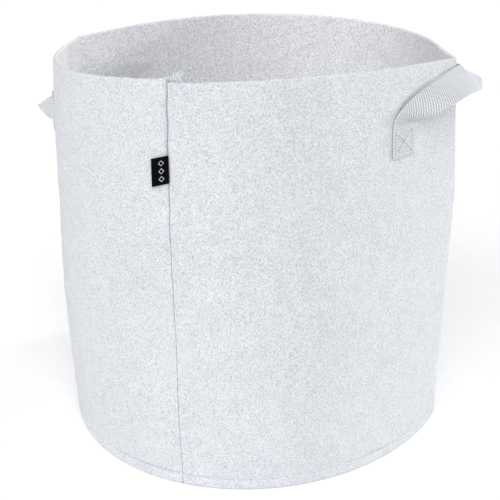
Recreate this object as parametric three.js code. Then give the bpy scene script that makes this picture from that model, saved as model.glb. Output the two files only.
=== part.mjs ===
// Fabric grow bag: a round, open-topped planter sewn from one felt wall panel and a felt base,
// with two webbing carrying handles and a small folded label in the side seam.
//
// Millimetres and degrees. +Z is up and the origin is the centre of the base's underside.
// The handles lie at +X and -X, and the side seam faces -Y.
import * as THREE from 'three';

// ---- Bag ------------------------------------------------------------------------------------
const bagHeight = 360;
const baseRadius = 187;
const rimRadius = 182;
const wallBelly = 5; // the wall stands this much prouder at mid height
const feltThickness = 3;
const ovalStretch = 13.6; // the rim is stretched along the line from the seam to the back
const ovalDirection = 74;
const eggBulge = 2.2; // three shallow lobes around the rim
const eggDirection = -53;
const rimSquareness = 2.5; // four shallow lobes around the rim
const squareDirection = -10;
const baseBulge = 3; // three shallow lobes around the base
const baseBulgeDirection = -100;
const foldPeak = 9; // the rim comes to a soft point at each flat-packing fold, behind the handles
const foldFade = 9; // degrees over which that point dies away
const ridgeAtRim = 7.5; // the fold behind the right handle also stands out from rim to base
const ridgeAtBase = 4;
const ridgeWidth = 13; // degrees
const ridgePower = 1.6; // how round the ridge is: 1 is sharp, 2 is a smooth hump
const rimWave = 4; // the raw rim rises and falls by this much
const rimWaveDirection = -62;
const seamStep = 1.6; // the rim is this much higher left of the seam, and lower right of it
const seamStepFade = 25; // degrees

// ---- Side seam ------------------------------------------------------------------------------
const seamAngle = -90;
const seamRadius = 196;
const seamAllowance = 13;
const layerGap = 0.3; // clearance between sewn layers and between touching pieces
const foldedGap = 1.2; // room inside the folded edge for the lower thread
const threadWidth = 0.8;
const threadGap = 0.45; // a wider clearance for threads, whose flat facets cut across the curved wall

// ---- Base seam ------------------------------------------------------------------------------
const flangeHeight = 15; // the base's edge is turned up inside the wall
const baseStitchHeight = 10;

// ---- Handles --------------------------------------------------------------------------------
const strapWidth = 30;
const strapThickness = 1.8;
const legAngle = 26.2; // each sewn end stands this far around from the handle's middle
const legBottom = 288;
const legTop = 313;
const stitchMargin = 3.5;
const legReach = 80; // distance of a sewn end's middle from the plane between the two ends
const bendZone = 0.2; // the first fifth of the free webbing is the part that bends

// ---- Label ----------------------------------------------------------------------------------
const labelWidth = 14.5;
const labelHeight = 22;
const labelBottom = 281;
const labelTape = 0.35;
const labelGap = 0.3; // between the folded tape's two layers
const labelLift = 12; // degrees that the label stands off the wall

// ---- Mesh fineness --------------------------------------------------------------------------
const stepAngle = 4;
const wallLevels = [0, 0.05, 0.15, 0.3, 0.45, 0.6, 0.75, 0.9, 1];
const loopSteps = 12;
const endSteps = 6;

const halfFelt = feltThickness / 2;
const halfThread = threadWidth / 2;
const fullTurn = 2 * Math.PI * seamRadius;

// ---- Materials ------------------------------------------------------------------------------
const material = (color, roughness) => new THREE.MeshStandardMaterial({ color, roughness, metalness: 0 });
const felt = material(0xdfe2e7, 0.95);
const baseFelt = material(0xd6d9de, 0.95);
const webbing = material(0xd5d7db, 0.8);
const thread = material(0xeceef0, 0.7);
const wovenBlack = material(0x0b0b0d, 0.75);

const bag = new THREE.Group();

function addPart(name, geometry, finish) {
  const mesh = new THREE.Mesh(geometry, finish);
  mesh.name = name;
  bag.add(mesh);
}

// ---- Bag shape ------------------------------------------------------------------------------
const radians = THREE.MathUtils.degToRad;

const lobes = (count, angle, direction) => Math.cos(radians(count * (angle - direction)));

/** Degrees from `angle` to the nearer flat-packing fold, at 0 or 180. */
function angleToFold(angle) {
  const turned = THREE.MathUtils.euclideanModulo(angle, 180);
  return Math.min(turned, 180 - turned);
}

/** 1 along the fold behind the right handle, dying away to both sides. */
function rightRidge(angle) {
  const fromRight = Math.abs(THREE.MathUtils.euclideanModulo(angle + 180, 360) - 180);
  return Math.exp(-((fromRight / ridgeWidth) ** ridgePower));
}

function baseOutline(angle) {
  return baseRadius + baseBulge * lobes(3, angle, baseBulgeDirection) + ridgeAtBase * rightRidge(angle);
}

function rimOutline(angle) {
  const oval = ovalStretch * lobes(2, angle, ovalDirection);
  const egg = eggBulge * lobes(3, angle, eggDirection);
  const square = rimSquareness * lobes(4, angle, squareDirection);
  const fold = foldPeak * Math.exp(-angleToFold(angle) / foldFade);
  return rimRadius + oval + egg + square + fold + ridgeAtRim * rightRidge(angle);
}

function outerRadius(angle, height) {
  const share = height / bagHeight;
  const belly = 4 * wallBelly * share * (1 - share);
  const base = baseOutline(angle);
  return base + (rimOutline(angle) - base) * share + belly;
}

/** Height of the raw rim, `turn` degrees around from the seam, clockwise seen from above. */
function rimHeight(turn) {
  const wave = rimWave * lobes(2, seamAngle - turn, rimWaveDirection);
  const leftSide = seamStep * Math.exp(-Math.max(turn, 0) / seamStepFade);
  const rightSide = seamStep * Math.exp(-Math.max(360 - turn, 0) / seamStepFade);
  return bagHeight + wave + leftSide - rightSide;
}

/** A point `inward` mm inside the wall's outer face. */
function wallPoint(angle, height, inward) {
  const radius = outerRadius(angle, height) - inward;
  return new THREE.Vector3(radius * Math.cos(radians(angle)), radius * Math.sin(radians(angle)), height);
}

/** Angle of a point `along` mm to the right of the side seam, measured around the wall. */
const angleAlong = (along) => seamAngle + THREE.MathUtils.radToDeg(along / seamRadius);

// ---- Solids from sections -------------------------------------------------------------------
/** Turns the faces of a closed triangle list outwards and makes a geometry of it. */
function closedGeometry(points, faces) {
  const volume = faces.reduce((sum, [a, b, c]) => {
    const normal = new THREE.Vector3().crossVectors(points[b], points[c]);
    return sum + points[a].dot(normal);
  }, 0);
  const outward = volume < 0 ? faces.map(([a, b, c]) => [a, c, b]) : faces;
  const geometry = new THREE.BufferGeometry();
  const corners = outward.flat().flatMap((index) => points[index].toArray());
  geometry.setAttribute('position', new THREE.Float32BufferAttribute(corners, 3));
  geometry.computeVertexNormals();
  return geometry;
}

/** Triangles that fill a convex section. */
const fanFaces = (section) => section.slice(2).map((_, i) => [0, i + 1, i + 2]);

/** Triangles that fill a section of any outline, wound the way the outline runs seen from above. */
function planFaces(section) {
  const outline = section.map((point) => new THREE.Vector2(point.x, point.y));
  const faces = THREE.ShapeUtils.triangulateShape(outline, []);
  return THREE.ShapeUtils.isClockWise(outline) ? faces.map(([a, b, c]) => [a, c, b]) : faces;
}

/** Skins a row of sections with equal point counts, and either caps the row or joins its ends. */
function loft(sections, { joined = false, capFaces = fanFaces } = {}) {
  const count = sections[0].length;
  const faces = [];
  const spans = joined ? sections.length : sections.length - 1;
  for (let i = 0; i < spans; i += 1) {
    const here = i * count;
    const there = ((i + 1) % sections.length) * count;
    for (let j = 0; j < count; j += 1) {
      const next = (j + 1) % count;
      faces.push([here + j, here + next, there + next], [here + j, there + next, there + j]);
    }
  }
  if (!joined) {
    const lastStart = (sections.length - 1) * count;
    const cap = capFaces(sections[0]);
    faces.push(...cap.map(([a, b, c]) => [a, c, b]));
    faces.push(...cap.map(([a, b, c]) => [lastStart + a, lastStart + b, lastStart + c]));
  }
  return closedGeometry(sections.flat(), faces);
}

// ---- Wall panel -----------------------------------------------------------------------------
/**
 * The felt strip's middle line as [mm right of the seam, mm inside the wall's outer face]. The
 * strip starts with the left allowance, goes once around, and ends in the folded right allowance.
 */
function wallStripPath() {
  const foldRadius = halfFelt + foldedGap / 2;
  const foldCentre = [foldRadius + layerGap, halfFelt + foldRadius];
  const rightLayer = halfFelt + 2 * foldRadius;
  const leftLayer = rightLayer + feltThickness + layerGap;
  const leftAllowance = [
    [seamAllowance, leftLayer],
    [foldCentre[0], leftLayer],
    [0.5, leftLayer - 0.1],
    [-2.2, leftLayer - 1.6],
    [-4, halfFelt + 3.5],
    [-6.5, halfFelt + 1.1],
  ];
  const around = [];
  for (let turn = stepAngle; turn <= 360 - stepAngle; turn += stepAngle) {
    around.push([-seamRadius * radians(turn), halfFelt]);
  }
  const foldedEdge = [];
  for (const bend of [90, 135, 180, 225, 270]) {
    foldedEdge.push([
      foldCentre[0] + foldRadius * Math.cos(radians(bend)) - fullTurn,
      foldCentre[1] - foldRadius * Math.sin(radians(bend)),
    ]);
  }
  return [...leftAllowance, ...around, ...foldedEdge, [seamAllowance - fullTurn, rightLayer]];
}

/** The closed outline of a strip of felt around its middle line. */
function stripOutline(path) {
  const sideA = [];
  const sideB = [];
  path.forEach((point, i) => {
    const before = path[Math.max(i - 1, 0)];
    const after = path[Math.min(i + 1, path.length - 1)];
    const direction = new THREE.Vector2(after[0] - before[0], after[1] - before[1]).normalize();
    sideA.push([point[0] - direction.y * halfFelt, point[1] + direction.x * halfFelt]);
    sideB.push([point[0] + direction.y * halfFelt, point[1] - direction.x * halfFelt]);
  });
  return [...sideA, ...sideB.reverse()];
}

function wallPanel() {
  const outline = stripOutline(wallStripPath());
  const sections = wallLevels.map((level) => outline.map(([along, inward]) => {
    const turn = THREE.MathUtils.radToDeg(-along / seamRadius);
    return wallPoint(angleAlong(along), level * rimHeight(turn), inward);
  }));
  return loft(sections, { capFaces: planFaces });
}

// ---- Base panel -----------------------------------------------------------------------------
/** How far inside the wall's outer face the turned-up base lies: it steps in over the seam. */
function baseInset(along) {
  const seamLayers = 3 * feltThickness + foldedGap + 2 * layerGap;
  const rise = THREE.MathUtils.smoothstep(along, -14, -4.5);
  const fall = 1 - THREE.MathUtils.smoothstep(along, 14, 23);
  const clearOfWall = feltThickness + layerGap;
  return clearOfWall + (seamLayers - clearOfWall) * Math.min(rise, fall);
}

/** Places around the base, in mm right of the seam, close together where it steps over the seam. */
function basePlaces() {
  const places = [];
  for (let along = -14; along < 24; along += 4) {
    places.push(along);
  }
  for (let turn = 2 * stepAngle; turn <= 360 - 2 * stepAngle; turn += stepAngle) {
    places.push(seamRadius * radians(turn));
  }
  return places;
}

function baseRing(height, extraInset) {
  return basePlaces().map((along) => wallPoint(angleAlong(along), height, baseInset(along) + extraInset));
}

function basePanel() {
  const centre = (height) => baseRing(height, 0).map((point) => point.multiplyScalar(0).setZ(height));
  const profile = [
    baseRing(0, 0),
    baseRing(flangeHeight, 0),
    baseRing(flangeHeight, feltThickness),
    baseRing(feltThickness, feltThickness),
  ];
  const count = profile[0].length;
  const points = [...profile.flat(), centre(0)[0], centre(feltThickness)[0]];
  const underCentre = points.length - 2;
  const topCentre = points.length - 1;
  const topRing = (profile.length - 1) * count;
  const faces = [];
  for (let j = 0; j < count; j += 1) {
    const next = (j + 1) % count;
    faces.push([underCentre, next, j], [topCentre, topRing + j, topRing + next]);
    for (let ring = 0; ring < topRing; ring += count) {
      faces.push([ring + j, ring + next, ring + count + next], [ring + j, ring + count + next, ring + count + j]);
    }
  }
  return closedGeometry(points, faces);
}

// ---- Threads --------------------------------------------------------------------------------
/** A thin thread ring that follows `pointAt(place, inward, height)` once around the base. */
function threadRing(places, pointAt) {
  return loft(places.map((place) => [
    pointAt(place, -halfThread, baseStitchHeight),
    pointAt(place, 0, baseStitchHeight - halfThread),
    pointAt(place, halfThread, baseStitchHeight),
    pointAt(place, 0, baseStitchHeight + halfThread),
  ]), { joined: true });
}

function baseNeedleThread() {
  const places = [];
  for (let turn = 0; turn < 360; turn += stepAngle) {
    places.push(seamRadius * radians(turn));
  }
  const proud = layerGap + halfThread;
  return threadRing(places, (along, inward, height) => wallPoint(angleAlong(along), height, inward - proud));
}

function baseBobbinThread() {
  const inside = feltThickness + layerGap + halfThread;
  return threadRing(basePlaces(), (along, inward, height) => (
    wallPoint(angleAlong(along), height, baseInset(along) + inside + inward)
  ));
}

/** A thread that runs up the side seam between two heights, bending where the wall does. */
function seamThread(along, inward, bottom, top, thickness) {
  const half = thickness / 2;
  const corners = [[-half, -half], [half, -half], [half, half], [-half, half]];
  const wallHeights = wallLevels.map((level) => level * bagHeight);
  const between = wallHeights.filter((height) => height > bottom && height < top);
  const heights = [bottom, ...between, top];
  return loft(heights.map((height) => corners.map(
    ([side, depth]) => wallPoint(angleAlong(along + side), height, inward + depth),
  )));
}

/** A stitched box with a cross in it, one closed piece, laid on the wall around `angle`. */
function boxStitch(angle, inward) {
  const halfWidth = strapWidth / 2 - stitchMargin;
  const halfRise = (legTop - legBottom) / 2 - stitchMargin;
  const innerWidth = halfWidth - threadWidth;
  const innerRise = halfRise - threadWidth;
  const outline = [];
  for (const [side, rise] of [[-1, -1], [0, -1], [1, -1], [1, 1], [0, 1], [-1, 1]]) {
    outline.push(new THREE.Vector2(side * halfWidth, rise * halfRise));
  }
  const shape = new THREE.Shape(outline);
  const hole = (corners) => new THREE.Path(corners.map(([x, y]) => new THREE.Vector2(x, y)));
  for (const side of [-1, 1]) {
    const nearCross = threadWidth * 1.3;
    shape.holes.push(hole([
      [side * innerWidth, -innerRise + nearCross],
      [side * innerWidth, innerRise - nearCross],
      [side * nearCross, 0],
    ]));
    shape.holes.push(hole([
      [-innerWidth + nearCross, side * innerRise],
      [0, side * innerRise],
      [innerWidth - nearCross, side * innerRise],
      [0, side * nearCross],
    ]));
  }
  const geometry = new THREE.ExtrudeGeometry(shape, { depth: threadWidth, bevelEnabled: false });
  const middle = (legTop + legBottom) / 2;
  const position = geometry.attributes.position;
  for (let i = 0; i < position.count; i += 1) {
    const turn = THREE.MathUtils.radToDeg(position.getX(i) / rimRadius);
    const point = wallPoint(angle + turn, middle + position.getY(i), inward - position.getZ(i));
    position.setXYZ(i, point.x, point.y, point.z);
  }
  geometry.computeVertexNormals();
  return geometry;
}

// ---- Handles --------------------------------------------------------------------------------
/** One sewn end of a strap, flat on the wall's outer face. */
function sewnEnd(angle) {
  const heights = [legBottom, (legBottom + legTop) / 2, legTop];
  const sections = [];
  for (let i = 0; i <= endSteps; i += 1) {
    const turn = THREE.MathUtils.radToDeg((strapWidth * (i / endSteps - 0.5)) / rimRadius);
    const outside = heights.map((height) => wallPoint(angle + turn, height, -layerGap - strapThickness));
    const inside = heights.map((height) => wallPoint(angle + turn, height, -layerGap)).reverse();
    sections.push([...outside, ...inside]);
  }
  const capFaces = () => [[0, 1, 4], [0, 4, 5], [1, 2, 3], [1, 3, 4]];
  return loft(sections, { capFaces });
}

/**
 * Mirrors a point of a loop's front half to its back half. Near the sewn end the point keeps its
 * distance from the wall, which is not the same shape on both sides.
 */
function mirroredToBack(point) {
  const frontAngle = THREE.MathUtils.radToDeg(Math.atan2(point.y, point.x));
  const wallShift = outerRadius(-frontAngle, point.z) - outerRadius(frontAngle, point.z);
  const nearRoot = Math.min(1, Math.abs(point.y) / legReach);
  const back = new THREE.Vector3(point.x, -point.y, 0);
  const shifted = back.setLength(back.length() + wallShift * nearRoot);
  return shifted.setZ(point.z);
}

/** Both halves of a strap edge: the given half runs from the front sewn end to the middle. */
function loopEdge(corners) {
  const half = new THREE.CubicBezierCurve3(...corners.map((corner) => new THREE.Vector3(...corner)));
  const points = [];
  for (let i = 0; i <= loopSteps; i += 1) {
    points.push(half.getPoint(bendZone + (1 - bendZone) * (i / loopSteps)));
  }
  return [...points, ...points.slice(0, -1).reverse().map(mirroredToBack)];
}

/** The free loop of a strap, a ribbon between its upper and its lower edge. */
function strapLoop(upperCorners, lowerCorners) {
  const upper = loopEdge(upperCorners);
  const lower = loopEdge(lowerCorners);
  const middle = upper.map((point, i) => point.clone().lerp(lower[i], 0.5));
  const sections = upper.map((point, i) => {
    const before = middle[Math.max(i - 1, 0)];
    const after = middle[Math.min(i + 1, middle.length - 1)];
    const along = after.clone().sub(before);
    const across = lower[i].clone().sub(point);
    const offset = new THREE.Vector3().crossVectors(along, across).setLength(strapThickness / 2);
    return [
      point.clone().add(offset),
      lower[i].clone().add(offset),
      lower[i].clone().sub(offset),
      point.clone().sub(offset),
    ];
  });
  return loft(sections);
}

// The right loop stands out from the rim; the left one has dropped and rests against the wall.
// Each edge is half of the loop, from its sewn end to the crease in the strap's middle.
const handles = [
  {
    side: 'right',
    middleAngle: 0,
    upper: [[149.4, -94, 320], [155, -86, 322], [160, -82, 343], [190, 0, 351.5]],
    lower: [[163.8, -64, 320], [162.5, -62, 303], [207, -89, 346], [209.8, 0, 331.5]],
  },
  {
    side: 'left',
    middleAngle: 180,
    upper: [[-160, -94, 320], [-172, -80, 331], [-182, -37, 284], [-211.5, 0, 300]],
    lower: [[-172, -64, 320], [-178, -63.5, 304], [-197, -19, 257], [-236, 0, 284.3]],
  },
];

function addHandle({ side, middleAngle, upper, lower }) {
  const facing = middleAngle === 0 ? -1 : 1;
  for (const [end, turn] of [['front', facing], ['back', -facing]]) {
    const angle = middleAngle + turn * legAngle;
    addPart(`handle_${side}_${end}_sewn_end`, sewnEnd(angle), webbing);
    const outside = -layerGap - strapThickness - threadGap;
    const inside = feltThickness + threadGap + threadWidth;
    addPart(`handle_${side}_${end}_needle_thread`, boxStitch(angle, outside), thread);
    addPart(`handle_${side}_${end}_bobbin_thread`, boxStitch(angle, inside), thread);
  }
  addPart(`handle_${side}_loop`, strapLoop(upper, lower), webbing);
}

// ---- Label ----------------------------------------------------------------------------------
/** A folded woven tape: two layers joined by a round fold at the free edge. */
function sideLabel() {
  const thickness = 2 * labelTape + labelGap;
  const outerBend = thickness / 2;
  const bendCentre = labelWidth - outerBend;
  const profile = new THREE.Shape();
  profile.moveTo(0, -outerBend);
  profile.lineTo(bendCentre, -outerBend);
  profile.absarc(bendCentre, 0, outerBend, -Math.PI / 2, Math.PI / 2, false);
  profile.lineTo(0, outerBend);
  profile.lineTo(0, labelGap / 2);
  profile.lineTo(bendCentre, labelGap / 2);
  profile.lineTo(bendCentre, -labelGap / 2);
  profile.lineTo(0, -labelGap / 2);
  const options = { depth: labelHeight, bevelEnabled: false, curveSegments: 6 };
  return new THREE.ExtrudeGeometry(profile, options);
}

function addLabel() {
  addPart('side_label', sideLabel(), wovenBlack);
  const label = bag.children.at(-1);
  const middle = labelBottom + labelHeight / 2;
  const root = wallPoint(seamAngle, middle, -layerGap - labelTape - labelGap / 2);
  label.position.set(root.x - 1.2, root.y, labelBottom);
  label.rotation.z = radians(180 + labelLift);
}

// ---- Assembly -------------------------------------------------------------------------------
addPart('wall_panel', wallPanel(), felt);
addPart('base_panel', basePanel(), baseFelt);

const allowanceFace = 3 * feltThickness + foldedGap + layerGap;
const needleDepth = allowanceFace + threadGap + halfThread;
const bobbinDepth = feltThickness + foldedGap / 2;
const tailHeight = 9; // the thread ends stand up out of the rim
const needleTop = bagHeight + tailHeight;
addPart('side_seam_needle_thread', seamThread(3, needleDepth, 17, needleTop, threadWidth), thread);
addPart('side_seam_bobbin_thread', seamThread(4, bobbinDepth, 3, bagHeight - 8, threadWidth / 2), thread);
addPart('base_seam_needle_thread', baseNeedleThread(), thread);
addPart('base_seam_bobbin_thread', baseBobbinThread(), thread);
handles.forEach(addHandle);
addLabel();

export default bag;
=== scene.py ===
"""Looks of the fabric grow bag: felt, webbing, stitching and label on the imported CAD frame.

Shapes are worked out in millimetres and degrees and become metres when a mesh is made. The frame
is the CAD's: +Z up, origin under the base, handles at +X and -X, side seam at -Y.
"""

import math

import bmesh
import bpy
import numpy as np
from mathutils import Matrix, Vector


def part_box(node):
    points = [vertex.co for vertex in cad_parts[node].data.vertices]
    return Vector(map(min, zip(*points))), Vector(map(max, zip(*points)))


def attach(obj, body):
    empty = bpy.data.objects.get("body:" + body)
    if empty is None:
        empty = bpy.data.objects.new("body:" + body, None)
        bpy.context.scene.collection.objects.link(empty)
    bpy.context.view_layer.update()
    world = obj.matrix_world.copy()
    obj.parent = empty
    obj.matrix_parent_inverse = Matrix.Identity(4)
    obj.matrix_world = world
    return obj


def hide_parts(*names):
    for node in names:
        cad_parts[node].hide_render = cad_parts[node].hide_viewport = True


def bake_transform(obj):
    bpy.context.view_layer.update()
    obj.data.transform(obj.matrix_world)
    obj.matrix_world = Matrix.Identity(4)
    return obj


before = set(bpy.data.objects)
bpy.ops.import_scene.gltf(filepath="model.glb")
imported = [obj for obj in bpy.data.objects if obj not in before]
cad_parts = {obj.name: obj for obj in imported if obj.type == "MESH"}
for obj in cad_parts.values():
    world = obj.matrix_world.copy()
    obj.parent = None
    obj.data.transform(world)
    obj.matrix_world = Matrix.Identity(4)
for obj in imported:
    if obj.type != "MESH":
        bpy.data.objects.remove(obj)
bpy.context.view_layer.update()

MM = 0.001

# ---- Bag, as in the CAD ---------------------------------------------------------------------
BAG_HEIGHT = 360.0
BASE_RADIUS = 187.0
RIM_RADIUS = 182.0
WALL_BELLY = 5.0
FELT = 3.0
OVAL_STRETCH, OVAL_DIRECTION = 13.6, 74.0
EGG_BULGE, EGG_DIRECTION = 2.2, -53.0
RIM_SQUARENESS, SQUARE_DIRECTION = 2.5, -10.0
BASE_BULGE, BASE_BULGE_DIRECTION = 3.0, -100.0
FOLD_PEAK, FOLD_FADE = 9.0, 9.0
RIDGE_AT_RIM, RIDGE_AT_BASE, RIDGE_WIDTH, RIDGE_POWER = 7.5, 4.0, 13.0, 1.6
RIM_WAVE, RIM_WAVE_DIRECTION = 4.0, -62.0
SEAM_STEP, SEAM_STEP_FADE = 1.6, 25.0
SWAY, DENT, LUMP, RIM_JITTER = 0.7, 0.25, 0.1, 0.18

SEAM_ANGLE = -90.0
SEAM_RADIUS = 196.0
ALLOWANCE = 13.0
FOLD_GAP = 1.2
LAYER_GAP = 0.3
TUCK_GAP = 0.25
FINE_REACH = 16.0
FULL_TURN = 2 * math.pi * SEAM_RADIUS

FLANGE_HEIGHT = 15.0
BASE_STITCH_HEIGHT = 10.0

STRAP_WIDTH = 30.0
STRAP_THICKNESS = 1.8
LEG_ANGLE = 26.8
LEG_HALF_ANGLE = 4.75
LEG_BOTTOM, LEG_TOP = 288.0, 314.0
BOX_BOTTOM, BOX_TOP = 291.5, 311.0
PRESSED_MIDDLE = 301.0
BOX_HALF_WIDTH = 11.5
LEG_REACH = 80.0
WEAVE_CELL = 1.25
WEAVE_RELIEF = 0.5
WEAVE_STEP = 0.38

THREAD_RADIUS = 0.42
TAIL_RADIUS = 0.45
BASE_STITCHES = 236
SIDE_STITCHES = 92
# How much painted light brightens the inner wall's strips.
PAINTED_LIGHT_TONE = 0.06


# ---- Camera ---------------------------------------------------------------------------------
def make_camera():
    """The photograph's viewpoint: a little above the rim, looking down across the open top."""
    data = bpy.data.cameras.new("camera")
    data.lens = 64.126
    data.sensor_width = 36.0
    data.clip_start = 0.05
    data.clip_end = 50.0
    camera = bpy.data.objects.new("camera", data)
    camera.location = (0.2676, -0.7945, 0.4949)
    heading = Vector((-0.2984, 0.8765, -0.3778))
    camera.rotation_euler = heading.to_track_quat("-Z", "Y").to_euler()
    bpy.context.scene.collection.objects.link(camera)
    bpy.context.scene.camera = camera


make_camera()


# ---- Bag shape ------------------------------------------------------------------------------
def lobes(count, angle, direction):
    return np.cos(np.radians(count * (angle - direction)))


def smoothstep(low, high, value):
    share = np.clip((value - low) / (high - low), 0.0, 1.0)
    return share * share * (3 - 2 * share)


def bump(value, width):
    """A soft hump, 1 at value 0 and fading over about `width`."""
    return np.exp(-((value / width) ** 2))


def angle_apart(angle, other):
    """How far one angle is past another the shorter way round, from -180 to 180."""
    return np.mod(angle - other + 180.0, 360.0) - 180.0


def right_ridge(angle):
    """1 along the fold behind the right handle, dying away to both sides."""
    from_right = np.abs(angle_apart(angle, 0.0))
    return np.exp(-((from_right / RIDGE_WIDTH) ** RIDGE_POWER))


def base_outline(angle):
    bulge = BASE_BULGE * lobes(3, angle, BASE_BULGE_DIRECTION)
    return BASE_RADIUS + bulge + RIDGE_AT_BASE * right_ridge(angle)


def rim_outline(angle):
    turned = np.mod(angle, 180.0)
    fold = FOLD_PEAK * np.exp(-np.minimum(turned, 180.0 - turned) / FOLD_FADE)
    oval = OVAL_STRETCH * lobes(2, angle, OVAL_DIRECTION)
    egg = EGG_BULGE * lobes(3, angle, EGG_DIRECTION)
    square = RIM_SQUARENESS * lobes(4, angle, SQUARE_DIRECTION)
    return RIM_RADIUS + oval + egg + square + fold + RIDGE_AT_RIM * right_ridge(angle)


def outer_radius(angle, height):
    share = height / BAG_HEIGHT
    belly = 4 * WALL_BELLY * share * (1 - share)
    base = base_outline(angle)
    return base + (rim_outline(angle) - base) * share + belly


def rim_height(turn):
    """Height of the raw rim, `turn` degrees clockwise from the seam."""
    wave = RIM_WAVE * lobes(2, SEAM_ANGLE - turn, RIM_WAVE_DIRECTION)
    left = SEAM_STEP * np.exp(-np.maximum(turn, 0) / SEAM_STEP_FADE)
    right = SEAM_STEP * np.exp(-np.maximum(360 - turn, 0) / SEAM_STEP_FADE)
    return BAG_HEIGHT + wave + left - right


class Ripple:
    """Seeded smooth unevenness over (angle, height) that closes around the bag; about -1 to 1."""

    def __init__(self, seed, count, waves_around, waves_up):
        rng = np.random.default_rng(seed)
        low, high = waves_around
        self.around = rng.integers(low, high + 1, count)
        self.up = rng.uniform(-waves_up, waves_up, count) * 2 * math.pi / BAG_HEIGHT
        self.phase = rng.uniform(0, 2 * math.pi, count)
        self.scale = 1.6 / math.sqrt(count)

    def __call__(self, angle, height):
        total = 0.0
        for around, up, phase in zip(self.around, self.up, self.phase):
            total = total + np.cos(np.radians(angle) * around + height * up + phase)
        return total * self.scale


sway_ripple = Ripple(seed=11, count=14, waves_around=(3, 13), waves_up=2.2)
dent_ripple = Ripple(seed=12, count=24, waves_around=(12, 60), waves_up=14.0)
lump_ripple = Ripple(seed=13, count=40, waves_around=(50, 150), waves_up=55.0)
rim_ripple = Ripple(seed=14, count=24, waves_around=(20, 170), waves_up=0.0)


def sway(angle, height):
    """How far the felt wall stands out of its even shape: limp cloth is never quite even."""
    calm_by_handles = 1 - 0.8 * smoothstep(230.0, 288.0, height)
    calm_at_base = smoothstep(0.0, 60.0, height)
    uneven = SWAY * sway_ripple(angle, height) + DENT * dent_ripple(angle, height)
    return uneven * calm_by_handles * calm_at_base


def wall_point(angle, height, inward):
    """Points `inward` mm inside the wall's outer face."""
    radius = outer_radius(angle, height) + sway(angle, height) - inward
    turn = np.radians(angle)
    return np.stack(
        [radius * np.cos(turn), radius * np.sin(turn), height * np.ones_like(radius)], axis=-1
    )


def angle_along(along):
    """Angle of a point `along` mm to the right of the side seam."""
    return SEAM_ANGLE + np.degrees(along / SEAM_RADIUS)


def nearest_way(along):
    """The same point's distance to the right of the seam, negative where the left way is shorter."""
    return np.mod(along + FULL_TURN / 2, FULL_TURN) - FULL_TURN / 2


# ---- Meshes ---------------------------------------------------------------------------------
def grid_faces(rows, columns, close_rows=False, close_columns=False):
    """Quads of a grid of rows x columns vertices, numbered row by row."""
    i = np.arange(rows if close_rows else rows - 1)
    j = np.arange(columns if close_columns else columns - 1)
    i, j = np.meshgrid(i, j, indexing="ij")
    down, right = (i + 1) % rows, (j + 1) % columns
    corners = [i * columns + j, i * columns + right, down * columns + right, down * columns + j]
    return np.stack(corners, axis=-1).reshape(-1, 4)


def signed_volume(points, quads):
    a, b, c, d = (points[quads[:, k]] for k in range(4))
    first = np.einsum("ij,ij->i", a, np.cross(b, c)).sum()
    return first + np.einsum("ij,ij->i", a, np.cross(c, d)).sum()


def make_mesh(name, points, quads, material, uv=None):
    """A smooth mesh object from millimetre points and quads, turned to face outwards."""
    points = np.asarray(points, float).reshape(-1, 3)
    quads = np.asarray(quads, int)
    if signed_volume(points, quads) < 0:
        quads = quads[:, ::-1]
    mesh = bpy.data.meshes.new(name)
    mesh.vertices.add(len(points))
    mesh.vertices.foreach_set("co", (points * MM).astype(np.float32).ravel())
    mesh.loops.add(quads.size)
    mesh.loops.foreach_set("vertex_index", quads.astype(np.int32).ravel())
    mesh.polygons.add(len(quads))
    mesh.polygons.foreach_set("loop_start", np.arange(0, quads.size, 4, dtype=np.int32))
    mesh.polygons.foreach_set("use_smooth", np.ones(len(quads), bool))
    if uv is not None:
        layer = mesh.uv_layers.new(name="UVMap")
        layer.data.foreach_set("uv", np.asarray(uv, np.float32)[quads.ravel()].ravel())
    mesh.update(calc_edges=True)
    mesh.validate()
    mesh.materials.append(material)
    thing = bpy.data.objects.new(name, mesh)
    bpy.context.scene.collection.objects.link(thing)
    return thing


def fill_open_ends(thing):
    """Closes the two open ends of a lofted strip."""
    work = bmesh.new()
    work.from_mesh(thing.data)
    edges = [edge for edge in work.edges if edge.is_boundary]
    bmesh.ops.holes_fill(work, edges=edges, sides=0)
    bmesh.ops.triangulate(work, faces=[face for face in work.faces if len(face.verts) > 4])
    work.to_mesh(thing.data)
    work.free()


def as_uv(across, along):
    """UV coordinates of a grid's vertices, in millimetres of real cloth."""
    return np.stack(np.broadcast_arrays(across, along), axis=-1).reshape(-1, 2)


def join_grids(grids):
    """Stacks (points, quads) pairs into one."""
    points, quads, start = [], [], 0
    for some_points, some_quads in grids:
        points.append(some_points.reshape(-1, 3))
        quads.append(some_quads + start)
        start += len(points[-1])
    return np.concatenate(points), np.concatenate(quads)


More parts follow.
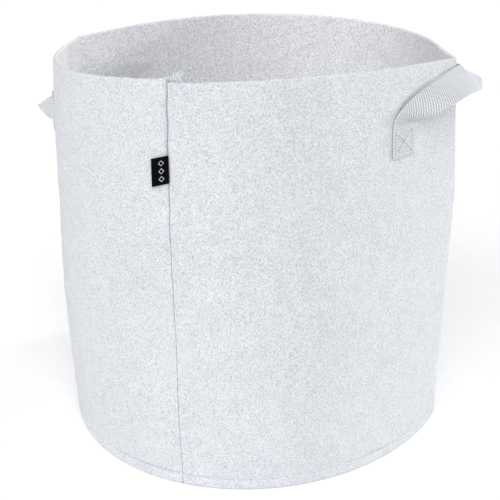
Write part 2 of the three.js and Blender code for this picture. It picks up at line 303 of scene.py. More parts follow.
# ---- Materials ------------------------------------------------------------------------------
class Nodes:
    """Short calls for building one material's node tree."""

    def __init__(self, name):
        self.material = bpy.data.materials.new(name)
        self.material.use_nodes = True
        self.tree = self.material.node_tree
        self.shader = self.tree.nodes["Principled BSDF"]
        self.shader.inputs["Metallic"].default_value = 0.0

    def add(self, kind, **settings):
        node = self.tree.nodes.new(kind)
        for key, value in settings.items():
            setattr(node, key, value)
        return node

    def link(self, source, target):
        self.tree.links.new(source, target)

    def math(self, operation, first, second=None, clamp=False):
        node = self.add("ShaderNodeMath", operation=operation, use_clamp=clamp)
        for socket, value in zip(node.inputs, (first, second)):
            if value is None:
                continue
            if isinstance(value, (int, float)):
                socket.default_value = value
            else:
                self.link(value, socket)
        return node.outputs[0]

    def position(self):
        return self.add("ShaderNodeTexCoord").outputs["Object"]

    def parts(self, vector):
        """The vector's x and y."""
        node = self.add("ShaderNodeSeparateXYZ")
        self.link(vector, node.inputs[0])
        return node.outputs[0], node.outputs[1]

    def weighted(self, *pairs):
        """The sum of sockets, each times its weight."""
        total = None
        for socket, weight in pairs:
            part = self.math("MULTIPLY", socket, weight)
            total = part if total is None else self.math("ADD", total, part)
        return total

    def varied(self, tone, socket, amount):
        """The tone raised and lowered a little by a noise that averages a half."""
        change = self.math("MULTIPLY", self.math("SUBTRACT", socket, 0.5), amount)
        return self.math("ADD", tone, change)

    def scaled(self, vector, scale):
        node = self.add("ShaderNodeVectorMath", operation="MULTIPLY")
        self.link(vector, node.inputs[0])
        node.inputs[1].default_value = scale
        return node.outputs[0]

    def noise(self, vector, scale, detail=2.0, roughness=0.5, distortion=0.0):
        node = self.add("ShaderNodeTexNoise")
        self.link(vector, node.inputs["Vector"])
        node.inputs["Scale"].default_value = scale
        node.inputs["Detail"].default_value = detail
        node.inputs["Roughness"].default_value = roughness
        node.inputs["Distortion"].default_value = distortion
        return node.outputs["Fac"]

    def ramp(self, value, stops):
        node = self.add("ShaderNodeValToRGB")
        self.link(value, node.inputs["Fac"])
        elements = node.color_ramp.elements
        while len(elements) < len(stops):
            elements.new(0.5)
        for element, (place, colour) in zip(elements, stops):
            element.position = place
            element.color = (*colour, 1.0)
        return node.outputs["Color"]

    def mix(self, share, first, second):
        node = self.add("ShaderNodeMix", data_type="RGBA")
        sockets = (node.inputs[0], node.inputs[6], node.inputs[7])
        for socket, value in zip(sockets, (share, first, second)):
            if isinstance(value, (int, float)):
                socket.default_value = value
            elif isinstance(value, tuple):
                socket.default_value = (*value, 1.0)
            else:
                self.link(value, socket)
        return node.outputs[2]

    def bump(self, height, distance, strength=1.0, under=None):
        node = self.add("ShaderNodeBump")
        node.inputs["Strength"].default_value = strength
        node.inputs["Distance"].default_value = distance
        self.link(height, node.inputs["Height"])
        if under is not None:
            self.link(under, node.inputs["Normal"])
        return node.outputs["Normal"]

    def finish(self, colour, roughness, normal, sheen=0.0, sheen_roughness=0.5, specular=0.3):
        self.link(colour, self.shader.inputs["Base Color"])
        if isinstance(roughness, float):
            self.shader.inputs["Roughness"].default_value = roughness
        else:
            self.link(roughness, self.shader.inputs["Roughness"])
        self.link(normal, self.shader.inputs["Normal"])
        self.shader.inputs["Sheen Weight"].default_value = sheen
        self.shader.inputs["Sheen Roughness"].default_value = sheen_roughness
        self.shader.inputs["Specular IOR Level"].default_value = specular
        return self.material


def painted_light_strips(n, place):
    """Painted light: a paler strip on the inner wall near each of the two folds, one at the front
    left and one towards the right end, where light falls on the wall.
    """
    x, y = n.parts(place)
    strip_middle, strip_half_width, strip_edge = -0.07, 0.03, 1 / 0.004
    from_middle = n.math("ABSOLUTE", n.math("ADD", y, -strip_middle))
    left = n.math(
        "MULTIPLY", n.math("SUBTRACT", strip_half_width, from_middle), strip_edge, clamp=True
    )
    left = n.math("MULTIPLY", left, n.math("LESS_THAN", x, 0.0))
    right_start, right_fade = 0.145, 1 / 0.04
    right = n.math("MULTIPLY", n.math("SUBTRACT", x, right_start), right_fade, clamp=True)
    return n.math("MULTIPLY", n.math("ADD", left, right), PAINTED_LIGHT_TONE)


def felt_material(name, dark, middle, light, fleck_scale, spread, painted_light=False):
    """Needle-punched felt: short fibres lying every way, with flecks, pinholes and fuzz.

    A small `spread` makes the flecks stand out. With the last flag set, the felt gets painted light:
    paler inner-wall strips where light falls.
    """
    n = Nodes(name)
    place = n.position()
    fleck = n.noise(place, fleck_scale, detail=3.0, roughness=0.75, distortion=0.6)
    fibres_a = n.noise(n.scaled(place, (1.0, 0.35, 0.5)), 1500.0, detail=2.0, distortion=2.2)
    fibres_b = n.noise(n.scaled(place, (0.4, 1.0, 1.3)), 1300.0, detail=2.0, distortion=2.2)
    fibres = n.math("MULTIPLY", n.math("ADD", fibres_a, fibres_b), 0.5)
    mottle = n.noise(place, 75.0, detail=3.0, roughness=0.6)
    cloud = n.noise(place, 11.0, detail=2.0)
    tone = n.weighted((fleck, 0.7), (fibres, 0.3))
    tone = n.varied(tone, mottle, 0.06)
    tone = n.varied(tone, cloud, 0.04)
    # Painted light: paler strips where light falls on the inner wall.
    if painted_light:
        tone = n.math("ADD", tone, painted_light_strips(n, place))
    colour = n.ramp(tone, [(0.5 - spread, dark), (0.5, middle), (0.5 + spread, light)])
    normal = n.bump(mottle, 0.0008, 0.2)
    normal = n.bump(fleck, 0.0009, 0.8, normal)
    normal = n.bump(fibres, 0.0004, 0.6, normal)
    roughness = n.math("ADD", 0.86, n.math("MULTIPLY", fleck, 0.14), clamp=True)
    return n.finish(colour, roughness, normal, sheen=0.22, sheen_roughness=0.45, specular=0.15)


def webbing_material():
    """Woven webbing: the threads' relief is in the mesh, and this adds strands and painted shade in
    the gaps between the threads.
    """
    n = Nodes("webbing")
    place = n.add("ShaderNodeUVMap", uv_map="UVMap").outputs["UV"]
    across, along = n.parts(place)
    turn = math.pi / WEAVE_CELL
    wave_across = n.math("SINE", n.math("MULTIPLY", across, turn))
    wave_along = n.math("SINE", n.math("MULTIPLY", along, turn))
    product = n.math("MULTIPLY", wave_across, wave_along)
    over = n.math("ADD", n.math("MULTIPLY", product, 0.5), 0.5)
    strands = n.noise(n.scaled(place, (9.0, 2.2, 1.0)), 1.0, detail=2.0)
    dirt = n.noise(n.position(), 60.0, detail=2.0)
    tone = n.weighted((n.math("POWER", over, 0.7), 0.85), (strands, 0.2))
    tone = n.varied(tone, dirt, 0.1)
    # Painted shade: the darkest tones fall in the gaps where the woven threads dip under.
    colour = n.ramp(
        tone, [(0.12, (0.1, 0.11, 0.13)), (0.42, (0.4, 0.415, 0.45)), (0.78, (0.74, 0.755, 0.79))]
    )
    normal = n.bump(n.math("POWER", over, 0.6), 0.00045, 0.8)
    normal = n.bump(strands, 0.0002, 0.5, normal)
    return n.finish(colour, 0.62, normal, sheen=0.15, specular=0.35)


def thread_material():
    """Twisted polyester sewing thread."""
    n = Nodes("sewing_thread")
    place = n.position()
    twist = n.add("ShaderNodeTexWave", wave_type="BANDS", bands_direction="DIAGONAL")
    n.link(place, twist.inputs["Vector"])
    twist.inputs["Scale"].default_value = 700.0
    twist.inputs["Distortion"].default_value = 1.0
    colour = n.ramp(twist.outputs["Fac"], [(0.0, (0.6, 0.62, 0.66)), (0.7, (0.86, 0.875, 0.9))])
    normal = n.bump(twist.outputs["Fac"], 0.0002, 0.6)
    return n.finish(colour, 0.5, normal, sheen=0.1, specular=0.4)


def label_material():
    """Black damask-woven tape with fine ribs and a plain row of pale woven lozenges."""
    rib_pitch = 0.42
    mark_pitch, mark_reach, mark_line = 6.2, 2.0, 0.28
    mark_across, row_middle, row_half_length = 5.6, 11.0, 8.8
    row_start = 1.4 + mark_pitch / 2

    n = Nodes("label_tape")
    across, along = n.parts(n.add("ShaderNodeUVMap", uv_map="UVMap").outputs["UV"])
    slanted = n.math("ADD", across, n.math("MULTIPLY", along, 0.5))
    ribs = n.math("SINE", n.math("MULTIPLY", slanted, 2 * math.pi / rib_pitch))
    ribs = n.math("MULTIPLY", n.math("ADD", ribs, 1.0), 0.5)

    folded = n.math("PINGPONG", n.math("ADD", along, row_start), mark_pitch / 2)
    up = n.math("ABSOLUTE", n.math("SUBTRACT", folded, mark_pitch / 2))
    side = n.math("ABSOLUTE", n.math("SUBTRACT", across, mark_across))
    from_outline = n.math("ABSOLUTE", n.math("SUBTRACT", n.math("ADD", side, up), mark_reach))
    outline = n.math("LESS_THAN", from_outline, mark_line)
    from_middle = n.math("ABSOLUTE", n.math("SUBTRACT", along, row_middle))
    mark = n.math("MULTIPLY", outline, n.math("LESS_THAN", from_middle, row_half_length))

    black = n.mix(ribs, (0.0015, 0.0015, 0.002), (0.006, 0.006, 0.007))
    colour = n.mix(mark, black, (0.62, 0.63, 0.65))
    normal = n.bump(n.math("ADD", ribs, mark), 0.00015, 0.7)
    return n.finish(colour, 0.75, normal, sheen=0.0, specular=0.02)


OUTER_TONES = ((0.44, 0.46, 0.5), (0.66, 0.68, 0.715), (0.8, 0.815, 0.84))
# Painted light: the inner face is the same felt as the outer face, with lighter tones standing in
# for the light bounced about inside the bag.
INNER_TONES_PAINTED_LIGHTER = ((0.56, 0.565, 0.595), (0.79, 0.8, 0.835), (0.98, 0.98, 0.99))

outer_felt = felt_material("felt", *OUTER_TONES, fleck_scale=820.0, spread=0.1)
base_felt = felt_material("base_felt", *OUTER_TONES, fleck_scale=820.0, spread=0.1)
inner_felt_with_painted_light = felt_material("inner_felt_with_painted_light", *INNER_TONES_PAINTED_LIGHTER, fleck_scale=600.0, spread=0.09, painted_light=True)
webbing = webbing_material()
thread = thread_material()
label_tape = label_material()


# ---- Wall panel -----------------------------------------------------------------------------
def arc(centre, radius, start, stop, count):
    """Points of part of a circle in the plane of (along, inward), from and to angles in degrees."""
    turn = np.radians(np.linspace(start, stop, count))
    return list(zip(centre[0] + radius * np.cos(turn), centre[1] - radius * np.sin(turn)))


def wall_path():
    """The felt strip's middle line, as rows of (mm right of the seam, mm inside the outer face).

    It starts at the edge of the folded right allowance, turns round inside the fold, goes once
    around the bag, dips under the right edge and ends in the left allowance.
    """
    half = FELT / 2
    fold_radius = half + FOLD_GAP / 2
    fold_along = fold_radius + LAYER_GAP
    right_layer = half + 2 * fold_radius
    left_layer = right_layer + FELT + LAYER_GAP
    path = [(along, right_layer) for along in np.linspace(ALLOWANCE, fold_along, 7)[:-1]]
    path += arc((fold_along, half + fold_radius), fold_radius, -90, -270, 11)

    near = list(np.arange(fold_along + 1.2, FINE_REACH, 1.5))
    far = list(np.linspace(FINE_REACH + 2.0, FULL_TURN - FINE_REACH, 312))
    path += [(along, half) for along in near + far]

    bend = (left_layer - half) / 3
    upright = FULL_TURN + fold_along - fold_radius - FELT - TUCK_GAP
    before_bend = np.linspace(FULL_TURN - FINE_REACH + 1.5, upright - bend - 0.8, 6)
    path += [(along, half) for along in before_bend]
    path += arc((upright - bend, half + bend), bend, 90, 0, 7)
    path.append((upright, (half + left_layer) / 2))
    path += arc((upright + bend, left_layer - bend), bend, 180, 270, 7)
    after_bend = np.linspace(upright + bend, FULL_TURN + ALLOWANCE, 8)[1:]
    path += [(along, left_layer) for along in after_bend]
    return np.array(path)


def box_angles():
    """The middle angle of each of the four sewn strap ends."""
    return [middle + side * LEG_ANGLE for middle in (0.0, 180.0) for side in (-1.0, 1.0)]


def groove_depth(angle):
    """The base seam's stitches pull in harder at some places, which then show as a dark line."""
    left_of_seam = bump(angle_apart(angle, -96.0), 15.0)
    front_right = 0.9 * bump(angle_apart(angle, -33.5), 6.0)
    return 0.2 + 1.55 * (left_of_seam + front_right)


def box_relief(angle, height, outside):
    """The boxed crosses press the felt thin, and on the inside it puffs up above and below them."""
    relief = 0.0
    for box in box_angles():
        sideways = np.radians(angle_apart(angle, box)) * RIM_RADIUS
        pressed = smoothstep(16.0, 11.0, np.abs(sideways)) * bump(height - PRESSED_MIDDLE, 11.0)
        above = bump(sideways, 13.0) * bump(height - BOX_TOP - 8.0, 4.5)
        below = bump(sideways, 14.0) * bump(height - BOX_BOTTOM + 7.5, 5.0)
        inside_relief = 1.9 * above + 0.8 * below - 0.9 * pressed
        relief = relief + np.where(outside, -0.3 * pressed, inside_relief)
    return relief


def wall_relief(angle, height, along_seam, side):
    """Extra thickness on one face of the felt. `side` is -1 on the outer face, 1 on the inner."""
    outside = side < 0
    lumps = LUMP * lump_ripple(angle + 7.0 * side, height)
    groove = groove_depth(angle) * bump(height - BASE_STITCH_HEIGHT, 1.7)
    flare = 0.5 * bump(height - 3.0, 4.0)
    base_seam = np.where(outside, flare - groove, 0.0)
    pucker_pitch = 9.0
    pucker = bump(along_seam - 5.0, 6.5) * np.sin(height * 2 * math.pi / pucker_pitch)
    seam_puckers = np.where(outside, 0.22, 0.12) * pucker
    return lumps + base_seam + box_relief(angle, height, outside) + seam_puckers


def notch_fill(height):
    """How far the felt swells shut over the side seam: hardly at the rim, nearly level below."""
    return 2.6 - 1.7 * smoothstep(200.0, 345.0, height)


def seam_opening(along, height):
    """How far the left panel stands off the fold: open at the rim, closed further down."""
    left_of_fold = smoothstep(-20.0, -7.0, along) * (1 - smoothstep(-2.5, 1.5, along))
    wander = 0.5 + 0.5 * np.sin(height / 5.3 + 1.2 * np.sin(height / 11.0))
    amount = smoothstep(215.0, 350.0, height) * (0.9 + 0.9 * wander) + 0.15 * wander
    return left_of_fold * amount


def wall_profile():
    """The felt strip's outline in an upright cut: outer face, raw rim, inner face and hem.

    Gives each point's share of the wall's height, its lift in mm and its offset from the middle of
    the felt, negative on the outer face.
    """
    half = FELT / 2
    at_base_seam = np.arange(1.2, 20.0, 1.25)
    middle = np.linspace(21.5, 345.0, 80)
    at_rim = np.array([348.0, 351.0, 353.5, 355.5, 357.2, 358.4])
    shares = np.concatenate([at_base_seam, middle, at_rim]) / BAG_HEIGHT
    corner = np.radians([30.0, 60.0])
    outer = [(share, 0.0, -half) for share in shares]
    rim = [(1.0, half * (math.sin(a) - 1), -half * math.cos(a)) for a in corner]
    rim += [(1.0, 0.0, 0.0)]
    rim += [(1.0, half * (math.sin(a) - 1), half * math.cos(a)) for a in corner[::-1]]
    inner = [(share, 0.0, half) for share in shares[::-1]]
    hem = [(0.0, 0.35, half * 0.75), (0.0, 0.0, half * 0.3)]
    hem += [(share, lift, -offset) for share, lift, offset in hem[::-1]]
    return np.array(outer + rim + inner + hem).T


def wall_points(path, share, lift, offset):
    """The wall's vertices, one row for each point of the path."""
    step = np.gradient(path, axis=0)
    step /= np.linalg.norm(step, axis=1, keepdims=True)
    normal = np.stack([-step[:, 1], step[:, 0]], axis=1)
    along = path[:, :1] + normal[:, :1] * offset
    inward = path[:, 1:] + normal[:, 1:] * offset
    angle = angle_along(along)
    beside_seam = nearest_way(along)

    turn = 360.0 - np.degrees(along / SEAM_RADIUS)
    rim_top = rim_height(turn) + RIM_JITTER * rim_ripple(angle, 0.0)
    allowance = np.where(inward > 4.0, beside_seam, 0.0)
    height = share * (rim_top - 5.0 * smoothstep(3.0, 10.0, allowance)) + lift

    side = np.sign(offset)[None, :] * np.sign(normal[:, 1:] + 1e-9)
    facing_out = np.abs(normal[:, 1:])
    on_a_face = np.sign(np.abs(offset))
    relief = wall_relief(angle, height, beside_seam, side) * facing_out * on_a_face
    inward = inward + side * relief

    by_notch = bump(beside_seam + 1.3, 2.2) * smoothstep(6.0, 4.0, inward) * (offset < 0)
    flush = np.minimum(inward, 0.2)
    inward = np.maximum(inward - by_notch * notch_fill(height), flush)
    return wall_point(angle_along(along - seam_opening(beside_seam, height)), height, inward)


def wall_panel():
    path = wall_path()
    share, lift, offset = wall_profile()
    points = wall_points(path, share, lift, offset)
    quads = grid_faces(len(path), len(share), close_columns=True)
    panel = make_mesh("wall_felt", points, quads, outer_felt)
    panel.data.materials.append(inner_felt_with_painted_light)
    on_inside = (offset > 0) & (share > 0)
    inside_faces = np.tile(on_inside, len(path) - 1)
    panel.data.polygons.foreach_set("material_index", inside_faces.astype(np.int32))
    fill_open_ends(panel)
    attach(panel, "bag")
    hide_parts("wall_panel")


# ---- Base panel -----------------------------------------------------------------------------
def base_inset(along):
    """How far inside the wall's outer face the turned-up base lies; it steps in over the seam."""
    clear = FELT + LAYER_GAP
    seam_layers = 3 * FELT + FOLD_GAP + 2 * LAYER_GAP
    rise = smoothstep(-14.0, -4.5, along)
    fall = 1 - smoothstep(14.0, 23.0, along)
    return clear + (seam_layers - clear) * np.minimum(rise, fall)


def base_profile():
    """The base's outline in an upright cut, from the middle of its underside and back on top.

    Gives each point's share of the way out, how much nearer the middle it lies in mm, its height.
    """
    last = FLANGE_HEIGHT - 0.8
    under = [(share, 0.0, 0.0) for share in np.linspace(0.02, 0.985, 60)]
    heel = [(1.0, 0.4, 0.9), (1.0, 0.0, 2.4)]
    up = [(1.0, 0.0, height) for height in np.linspace(4.0, last, 8)]
    lip = [(1.0, extra, FLANGE_HEIGHT - drop) for extra, drop in ((0.5, 0.1), (1.5, 0), (2.5, 0.1))]
    down = [(1.0, FELT, height) for height in np.linspace(last, 5.4, 7)]
    toe = [(1.0, FELT + 0.7, 3.9), (1.0, FELT + 2.2, 3.1)]
    top = [(share, 0.0, FELT) for share in np.linspace(0.965, 0.02, 60)]
    return np.array(under + heel + up + lip + down + toe + top).T


def base_points(along, share, extra, level):
    """The base's vertices, one row for each direction from the middle."""
    angle = angle_along(along)
    edge = outer_radius(angle, 0.0) - base_inset(nearest_way(along))
    radius = edge * share - extra
    height = np.broadcast_to(level, radius.shape).copy()

    on_disc = smoothstep(0.98, 0.8, share) * smoothstep(0.0, 0.3, share)
    lumps = 0.5 + 0.5 * np.sin(radius / 23.0 + 2.0 * np.sin(np.radians(angle * 3)))
    swell = 0.5 + 0.5 * np.cos(np.radians(angle * 2) + radius / 60.0)
    height += on_disc * (0.7 * lumps + 1.3 * swell)

    upright = (share == 1.0) & (level > 3.0) & (level < FLANGE_HEIGHT - 0.5)
    flange_inside = np.where(upright & (extra >= FELT), 1.0, 0.0)
    radius += 0.5 * bump(height - BASE_STITCH_HEIGHT, 1.8) * flange_inside
    radius += 0.08 * lump_ripple(angle, height * 3) * flange_inside
    radius = radius + sway(angle, height) * (share == 1.0)
    turn = np.radians(angle)
    return np.stack([radius * np.cos(turn), radius * np.sin(turn), height], axis=-1)


def base_panel():
    near = np.arange(-18.0, 28.0, 2.0)
    far = np.linspace(30.0, FULL_TURN - 20.0, 250)
    along = np.concatenate([near, far])[:, None]
    profile = base_profile()
    points = base_points(along, *profile)
    quads = grid_faces(len(along), profile.shape[1], close_rows=True)
    base = make_mesh("base_felt", points, quads, base_felt)
    fill_open_ends(base)
    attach(base, "bag")
    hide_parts("base_panel")


# ---- Handle plan ----------------------------------------------------------------------------
# The front half of each loop: its two edges as Bezier corners (x, y, z), from the sewn end to the
# crease, and a bend stretch, as a direction and two distances along it, which is read but not used
# to bend the strap.
HANDLES = {
    "right": {
        "middle": 0.0,
        "upper": [(149.4, -94, 320), (155, -86, 322), (160, -82, 343), (190, 0, 351.5)],
        "lower": [(163.8, -64, 320), (162.5, -62, 303), (207, -89, 346), (209.8, 0, 331.5)],
        "bend_front": ((0.434, -0.179, 0.883), 360.1, 375.5),
        "bend_back": ((0.466, 0.146, 0.873), 362.2, 377.6),
    },
    "left": {
        "middle": 180.0,
        "upper": [(-160, -94, 320), (-172, -80, 331), (-182, -37, 284), (-211.5, 0, 300)],
        "lower": [(-172, -64, 320), (-178, -63.5, 304), (-197, -19, 257), (-236, 0, 284.3)],
        "bend_front": ((-0.565, 0.825, 0.013), 43.7, 54.1),
        "bend_back": ((-0.775, -0.631, 0.038), 97.2, 108.3),
    },
}


# ---- Stitches -------------------------------------------------------------------------------
def tube(centres, radius):
    """(points, quads) of a six-sided closed tube along centre points, narrowing at both ends."""
    sides = 6
    centres = np.asarray(centres, float)
    step = np.gradient(centres, axis=0)
    step /= np.linalg.norm(step, axis=1, keepdims=True) + 1e-12
    helper = np.array([0.0, 0.0, 1.0]) if abs(step[0, 2]) < 0.8 else np.array([1.0, 0.0, 0.0])
    first = np.cross(step, helper)
    first /= np.linalg.norm(first, axis=1, keepdims=True)
    second = np.cross(step, first)
    turn = np.linspace(0, 2 * math.pi, sides, endpoint=False)[None, :, None]
    ring = first[:, None] * np.cos(turn) + second[:, None] * np.sin(turn)
    radii = np.full(len(centres), radius)
    radii[[0, -1]] *= 0.35
    points = centres[:, None] + ring * radii[:, None, None]
    quads = grid_faces(len(centres), sides, close_columns=True)
    cap = np.array([[0, 1, 2, 3], [0, 3, 4, 5]])
    last = (len(centres) - 1) * sides
    return points, np.concatenate([quads, cap[:, ::-1], cap + last])


def stitches(name, seams, cad_node):
    """One thread shown as rows of stitches.

    Each seam is (surface function of a share from 0 to 1 and a height above the cloth, count).
    """
    arch = np.linspace(0, 1, 7)
    rise = np.sin(math.pi * arch) ** 0.6 * (THREAD_RADIUS * 1.3) - THREAD_RADIUS * 0.55
    grids = []
    for surface, count in seams:
        pitch = 1.0 / count
        for k in range(count):
            share = (k + 0.07 + 0.86 * arch) * pitch
            grids.append(tube(surface(share, rise), THREAD_RADIUS))
    points, quads = join_grids(grids)
    rows = make_mesh(name, points, quads, thread)
    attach(rows, "bag")
    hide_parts(cad_node)


def base_stitches():
    def outside(share, rise):
        angle = angle_along(share * FULL_TURN)
        sunk = 0.5 * groove_depth(angle)
        return wall_point(angle, np.full_like(share, BASE_STITCH_HEIGHT), sunk - rise)

    def inside(share, rise):
        along = share * FULL_TURN
        depth = base_inset(nearest_way(along)) + FELT - 0.3
        height = np.full_like(share, BASE_STITCH_HEIGHT)
        return wall_point(angle_along(along), height, depth + rise)

    stitches("base_seam_stitches_outside", [(outside, BASE_STITCHES)], "base_seam_needle_thread")
    stitches("base_seam_stitches_inside", [(inside, BASE_STITCHES)], "base_seam_bobbin_thread")


def side_stitches():
    lowest = 17.0
    innermost_face = 4 * FELT + FOLD_GAP + LAYER_GAP
    depth = innermost_face - 2.7

    def inside(share, rise):
        height = lowest + share * (BAG_HEIGHT - lowest)
        return wall_point(np.full_like(share, angle_along(3.0)), height, depth + rise)

    stitches("side_seam_stitches", [(inside, SIDE_STITCHES)], "side_seam_needle_thread")


def box_seams(angle, inward, direction):
    """The sides and the cross of one boxed cross; `direction` is -1 for rising out of the bag."""
    corners = [(-1, 0), (1, 0), (1, 1), (-1, 1)]
    runs = [(corners[k], corners[(k + 1) % 4], 7 if k % 2 == 0 else 6) for k in range(4)]
    runs += [(corners[0], corners[2], 9), (corners[1], corners[3], 9)]
    seams = []
    for start, end, count in runs:

        def surface(share, rise, start=start, end=end):
            sideways = (start[0] + (end[0] - start[0]) * share) * BOX_HALF_WIDTH
            up = start[1] + (end[1] - start[1]) * share
            height = BOX_BOTTOM + up * (BOX_TOP - BOX_BOTTOM)
            turned = angle + np.degrees(sideways / RIM_RADIUS)
            return wall_point(turned, height, inward + direction * rise)

        seams.append((surface, count))
    return seams


def leg_angle(side, end):
    """The angle of a strap end's middle line around the bag."""
    middle = HANDLES[side]["middle"]
    return middle + leg_turn(side, end) * LEG_ANGLE


def leg_turn(side, end):
    """Which way around the bag a strap end lies from its handle's middle: 1 or -1."""
    front = -1.0 if side == "right" else 1.0
    return front if end == "front" else -front


def box_stitches():
    on_strap = -LAYER_GAP - STRAP_THICKNESS + 0.05
    in_pressed_felt = FELT - 0.75
    for side in ("right", "left"):
        for end in ("front", "back"):
            angle = leg_angle(side, end)
            outer = box_seams(angle, on_strap, -1)
            inner = box_seams(angle, in_pressed_felt, 1)
            name = f"handle_{side}_{end}"
            stitches(f"{name}_stitches_outside", outer, f"{name}_needle_thread")
            stitches(f"{name}_stitches_inside", inner, f"{name}_bobbin_thread")


# ---- Straps ---------------------------------------------------------------------------------
def bezier(corners, share):
    a, b, c, d = (np.array(corner, float) for corner in corners)
    t = share[:, None]
    return (1 - t) ** 3 * a + 3 * (1 - t) ** 2 * t * b + 3 * (1 - t) * t * t * c + t**3 * d


def mirrored_to_back(points):
    """Mirrors the front half; near the sewn end it keeps its distance from the wall."""
    angle = np.degrees(np.arctan2(points[:, 1], points[:, 0]))
    shift = outer_radius(-angle, points[:, 2]) - outer_radius(angle, points[:, 2])
    near_root = np.minimum(1.0, np.abs(points[:, 1]) / LEG_REACH)
    reach = np.hypot(points[:, 0], points[:, 1])
    scale = (reach + shift * near_root) / reach
    return np.stack([points[:, 0] * scale, -points[:, 1] * scale, points[:, 2]], axis=1)


def resample(points, count):
    steps = np.linalg.norm(np.diff(points, axis=0), axis=1)
    length = np.concatenate([[0], np.cumsum(steps)])
    wanted = np.linspace(0, length[-1], count)
    return np.stack([np.interp(wanted, length, points[:, k]) for k in range(3)], axis=1)


def soften(points, passes):
    """Rounds the kinks of a line, leaving its two ends where they are."""
    for _ in range(passes):
        points[1:-1] += 0.25 * (points[:-2] - 2 * points[1:-1] + points[2:])
    return points


def strap_edge(side, end, corners, leg_side):
    """One edge of half a strap, from the bottom of the sewn end to the crease in the middle."""
    angle = leg_angle(side, end) + leg_turn(side, end) * leg_side * LEG_HALF_ANGLE
    leg_heights = np.linspace(LEG_BOTTOM, LEG_TOP, 14)
    gap = LAYER_GAP + STRAP_THICKNESS / 2 - 0.1
    leg = wall_point(np.full_like(leg_heights, angle), leg_heights, -gap)
    loop = bezier(corners, np.linspace(0.07, 1.0, 60))
    if end == "back":
        loop = mirrored_to_back(loop)
    line = resample(np.concatenate([leg, loop]), 400)
    return soften(line, 260)


def strap_rails(side, end):
    """Both edges of half a strap at even stations, and how far along the strap each one is."""
    upper = strap_edge(side, end, HANDLES[side]["upper"], 1.0)
    lower = strap_edge(side, end, HANDLES[side]["lower"], -1.0)
    middle = (upper + lower) / 2
    across = lower - upper
    width = np.linalg.norm(across, axis=1, keepdims=True)
    evened = STRAP_WIDTH + 0.35 * (width - STRAP_WIDTH)
    across = across / width
    steps = np.linalg.norm(np.diff(middle, axis=0), axis=1)
    length = np.concatenate([[0], np.cumsum(steps)])
    stations = np.linspace(0, length[-1], int(length[-1] / WEAVE_STEP))

    def at_stations(line):
        return np.stack([np.interp(stations, length, line[:, k]) for k in range(3)], axis=1)

    upper = at_stations(middle - across * evened / 2)
    lower = at_stations(middle + across * evened / 2)
    return upper, lower, stations


def strap_normals(side, upper, lower):
    """Unit vectors square to the webbing, away from the bag at its sewn end."""
    middle = (upper + lower) / 2
    along = np.gradient(middle, axis=0)
    if side == "right":
        # Both halves run straight across the middle crease, so that they meet there.
        along[-1] = (0.0, along[-1][1], 0.0)
    normal = np.cross(along, lower - upper)
    normal /= np.linalg.norm(normal, axis=1, keepdims=True)
    outward = middle[0] * np.array([1.0, 1.0, 0.0])
    return normal * np.sign(normal[0] @ outward)


def woven_lift(place, stations):
    """How far the webbing's face stands off its middle, with the weave and thinner edges."""
    turn = math.pi / WEAVE_CELL
    edge = 1 - np.abs(2 * place - 1)
    weave = np.sin(place * STRAP_WIDTH * turn)[None, :] * np.sin(stations * turn)[:, None]
    threads = np.where(weave > 0, 1.0, 0.55) * np.abs(weave) ** 0.7
    selvage = smoothstep(0.02, 0.07, edge)
    thin = smoothstep(0.0, 0.05, edge) ** 0.5
    half = (STRAP_THICKNESS / 2 - 0.15) * (0.3 + 0.7 * thin)
    return half[None, :] + WEAVE_RELIEF * (threads - 0.5) * selvage[None, :]


def strap_half(side, end):
    """Half of a strap: the sewn end and the free webbing up to the crease in its middle."""
    upper, lower, stations = strap_rails(side, end)
    normal = strap_normals(side, upper, lower)[:, None]
    place = np.linspace(0, 1, int(STRAP_WIDTH / WEAVE_STEP))
    share = place[None, :, None]
    surface = upper[:, None] * (1 - share) + lower[:, None] * share
    lift = woven_lift(place, stations)[:, :, None]
    front, behind = surface + normal * lift, surface - normal * lift
    ring = np.concatenate([front, behind[:, ::-1]], axis=1)
    across = place * STRAP_WIDTH
    uv = as_uv(np.concatenate([across, across[::-1]])[None, :], stations[:, None])
    quads = grid_faces(len(stations), 2 * len(place), close_columns=True)
    strap = make_mesh(f"handle_{side}_{end}_strap", ring, quads, webbing, uv)
    fill_open_ends(strap)
    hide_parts(f"handle_{side}_{end}_sewn_end", f"handle_{side}_loop")
    direction, start, stop = HANDLES[side][f"bend_{end}"]
    direction = Vector(direction)
    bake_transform(strap)


# ---- Label ----------------------------------------------------------------------------------
def side_label():
    """A folded tape caught in the side seam, curving slightly as it stands off the wall."""
    low, high = (np.array(corner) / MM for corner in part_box("side_label"))
    root = np.array([high[0] - 0.1, high[1] - 0.4, low[2]])
    width, tall, gap, root_rise = 13.4, 22.0, 0.3, 3.4
    off_wall = math.radians(13.0)

    fold = np.radians(np.linspace(-90, 90, 9)[1:-1])
    reach = np.linspace(0, width - 0.5, 40)
    outer = [(x, -0.5) for x in reach]
    outer += [(width - 0.5 + 0.5 * math.cos(a), 0.5 * math.sin(a)) for a in fold]
    outer += [(x, 0.5) for x in reach[::-1]]
    inner = [(x, gap / 2) for x in reach] + [(x, -gap / 2) for x in reach[::-1]]
    x, y = np.array(outer + inner).T
    share_out = (x / width)[None, :]

    up = np.linspace(0, tall, 56)[:, None]
    curl = 0.035 * width * share_out**2
    wave = 0.2 * np.sin(up / tall * math.pi * 1.3) * share_out
    side = y[None, :] + curl + wave
    sag = root_rise * (1 - share_out) + 0.35 * (up / tall) * share_out - 0.2
    points = np.stack(
        np.broadcast_arrays(
            root[0] - x[None, :] * math.cos(off_wall) + side * math.sin(off_wall),
            root[1] - x[None, :] * math.sin(off_wall) - side * math.cos(off_wall),
            root[2] + up + sag,
        ),
        axis=-1,
    )
    quads = grid_faces(len(up), len(x), close_columns=True)
    label = make_mesh("woven_label", points, quads, label_tape, as_uv(x[None, :], up))
    fill_open_ends(label)
    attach(label, "label")
    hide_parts("side_label")


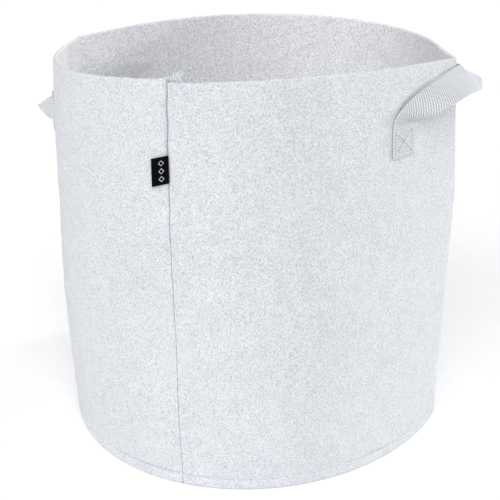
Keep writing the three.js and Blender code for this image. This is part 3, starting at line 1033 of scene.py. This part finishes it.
# ---- Thread tails ---------------------------------------------------------------------------
def thread_tails():
    """The side seam's thread ends, cut off and curling up out of the rim."""
    rng = np.random.default_rng(5)
    t = np.linspace(0, 1, 22)[:, None]
    grids = []
    for _ in range(7):
        along = 3.0 + rng.uniform(-1.5, 3.5)
        start = wall_point(angle_along(along), BAG_HEIGHT - 3.0, rng.uniform(4.0, 10.5))
        lean = [rng.uniform(-1.5, 3.0), rng.uniform(-0.5, 2.0), rng.uniform(8.0, 11.0)]
        curl = rng.uniform(1.0, 2.2)
        phase = rng.uniform(0, 2 * math.pi)
        turn = t * rng.uniform(2.5, 5.0)
        swirl = [np.sin(turn + phase), np.cos(turn + phase), 0.25 * np.sin(turn * 1.3)]
        swirl = np.concatenate(swirl, axis=1)
        swirl -= swirl[:1]
        grids.append(tube(start + t * np.array(lean) + curl * t * swirl, TAIL_RADIUS))
    points, quads = join_grids(grids)
    tails = make_mesh("side_seam_thread_tails", points, quads, thread)
    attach(tails, "bag")


def hidden_bobbin_thread():
    """The side seam's bobbin thread lies between the felt layers and keeps its CAD shape."""
    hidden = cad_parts["side_seam_bobbin_thread"]
    hidden.data.materials.clear()
    hidden.data.materials.append(thread)


# ---- Stage ----------------------------------------------------------------------------------
def add_sun(name, azimuth, elevation, energy, width):
    """A soft, far studio light; `width` is how many degrees of the sky it fills."""
    data = bpy.data.lights.new(name, "SUN")
    data.energy = energy
    data.angle = math.radians(width)
    light = bpy.data.objects.new(name, data)
    turn, rise = math.radians(azimuth), math.radians(elevation)
    level = math.cos(rise)
    towards = Vector((math.cos(turn) * level, math.sin(turn) * level, math.sin(rise)))
    light.location = towards * 3.0
    light.rotation_euler = (-towards).to_track_quat("-Z", "Y").to_euler()
    bpy.context.scene.collection.objects.link(light)


def floor_material():
    n = Nodes("floor")
    grain = n.noise(n.position(), 30.0, detail=2.0)
    colour = n.ramp(grain, [(0.3, (0.95, 0.95, 0.95)), (0.7, (0.97, 0.97, 0.97))])
    normal = n.bump(grain, 0.0002, 0.05)
    return n.finish(colour, 0.9, normal, specular=0.1)


def make_stage():
    """A plain pale floor under soft studio light."""
    half = 6.0
    corners = [(-half, -half, 0), (half, -half, 0), (half, half, 0), (-half, half, 0)]
    mesh = bpy.data.meshes.new("floor")
    mesh.from_pydata(corners, [], [(0, 1, 2, 3)])
    mesh.materials.append(floor_material())
    floor = bpy.data.objects.new("floor", mesh)
    floor.location = (0, 0, -0.0002)
    bpy.context.scene.collection.objects.link(floor)
    world = bpy.data.worlds.new("studio")
    world.use_nodes = True
    background = world.node_tree.nodes["Background"]
    background.inputs["Color"].default_value = (1.0, 1.0, 1.0, 1.0)
    background.inputs["Strength"].default_value = 0.56
    bpy.context.scene.world = world
    add_sun("right_sun", azimuth=42.0, elevation=9.0, energy=1.5, width=7.0)
    add_sun("left_sun", azimuth=-125.0, elevation=30.0, energy=0.75, width=40.0)
    add_sun("front_sun", azimuth=-71.0, elevation=42.0, energy=1.6, width=50.0)
    bpy.context.scene.view_settings.view_transform = "Standard"


wall_panel()
base_panel()
base_stitches()
side_stitches()
box_stitches()
for handle_side in HANDLES:
    for strap_end in ("front", "back"):
        strap_half(handle_side, strap_end)
side_label()
thread_tails()
hidden_bobbin_thread()
make_stage()
